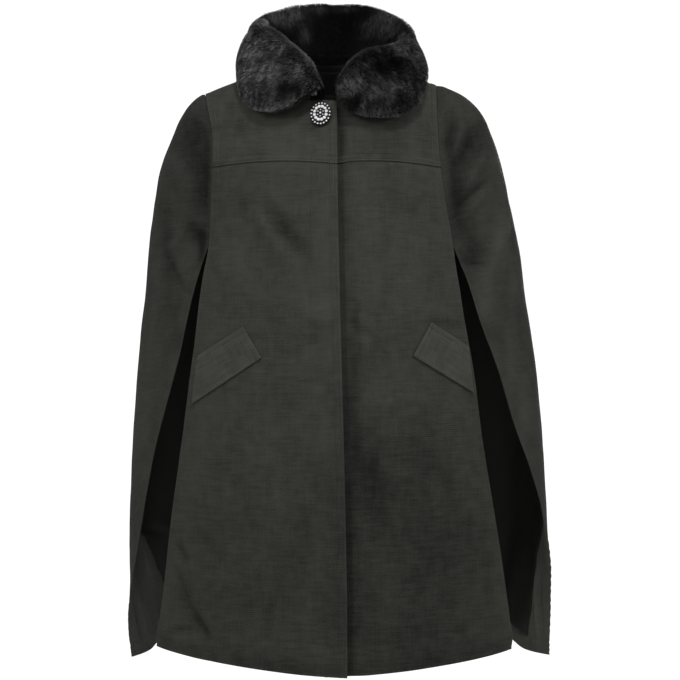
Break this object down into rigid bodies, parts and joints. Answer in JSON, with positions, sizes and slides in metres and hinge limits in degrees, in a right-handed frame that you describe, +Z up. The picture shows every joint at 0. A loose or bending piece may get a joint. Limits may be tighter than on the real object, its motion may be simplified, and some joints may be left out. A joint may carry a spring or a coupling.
{
  "type": "cape coat",
  "caption": "Hip-length wool cape coat with a turned-down faux-fur collar, arm slits down both sides, slanted pocket welts, a concealed front closure and a jewelled button at the neck.",
  "frame": {"origin": "midway between the two high shoulder points, on the shoulder line inside the neck opening, where the coat is carried", "axes": "+Z up along the coat's length, -Y out of the front, +X to the wearer's left"},
  "size_m": [0.6021, 0.342, 0.9466],
  "materials": {
    "wool": "brushed charcoal wool cloth with a short nap",
    "lining": "smooth black twill lining with a slight sheen",
    "label": "plain black woven satin tape",
    "fur": "dense short-pile black faux fur",
    "button": "glossy black domed plastic",
    "stones": "foil-backed faceted clear glass stones"
  },
  "bodies": {
    "root": {"yoke_right": "wool", "yoke_left": "wool", "front_right": "wool", "front_left": "wool", "cape_side_right": "wool", "cape_side_left": "wool", "back": "wool", "welt_right": "wool", "welt_left": "wool", "lining_back": "lining", "neck_facing": "lining", "lining_side_right": "lining", "lining_side_left": "lining", "neck_label": "label", "collar": "fur", "button_base": "button", "button_setting": "stones"}
  },
  "joints": []
}
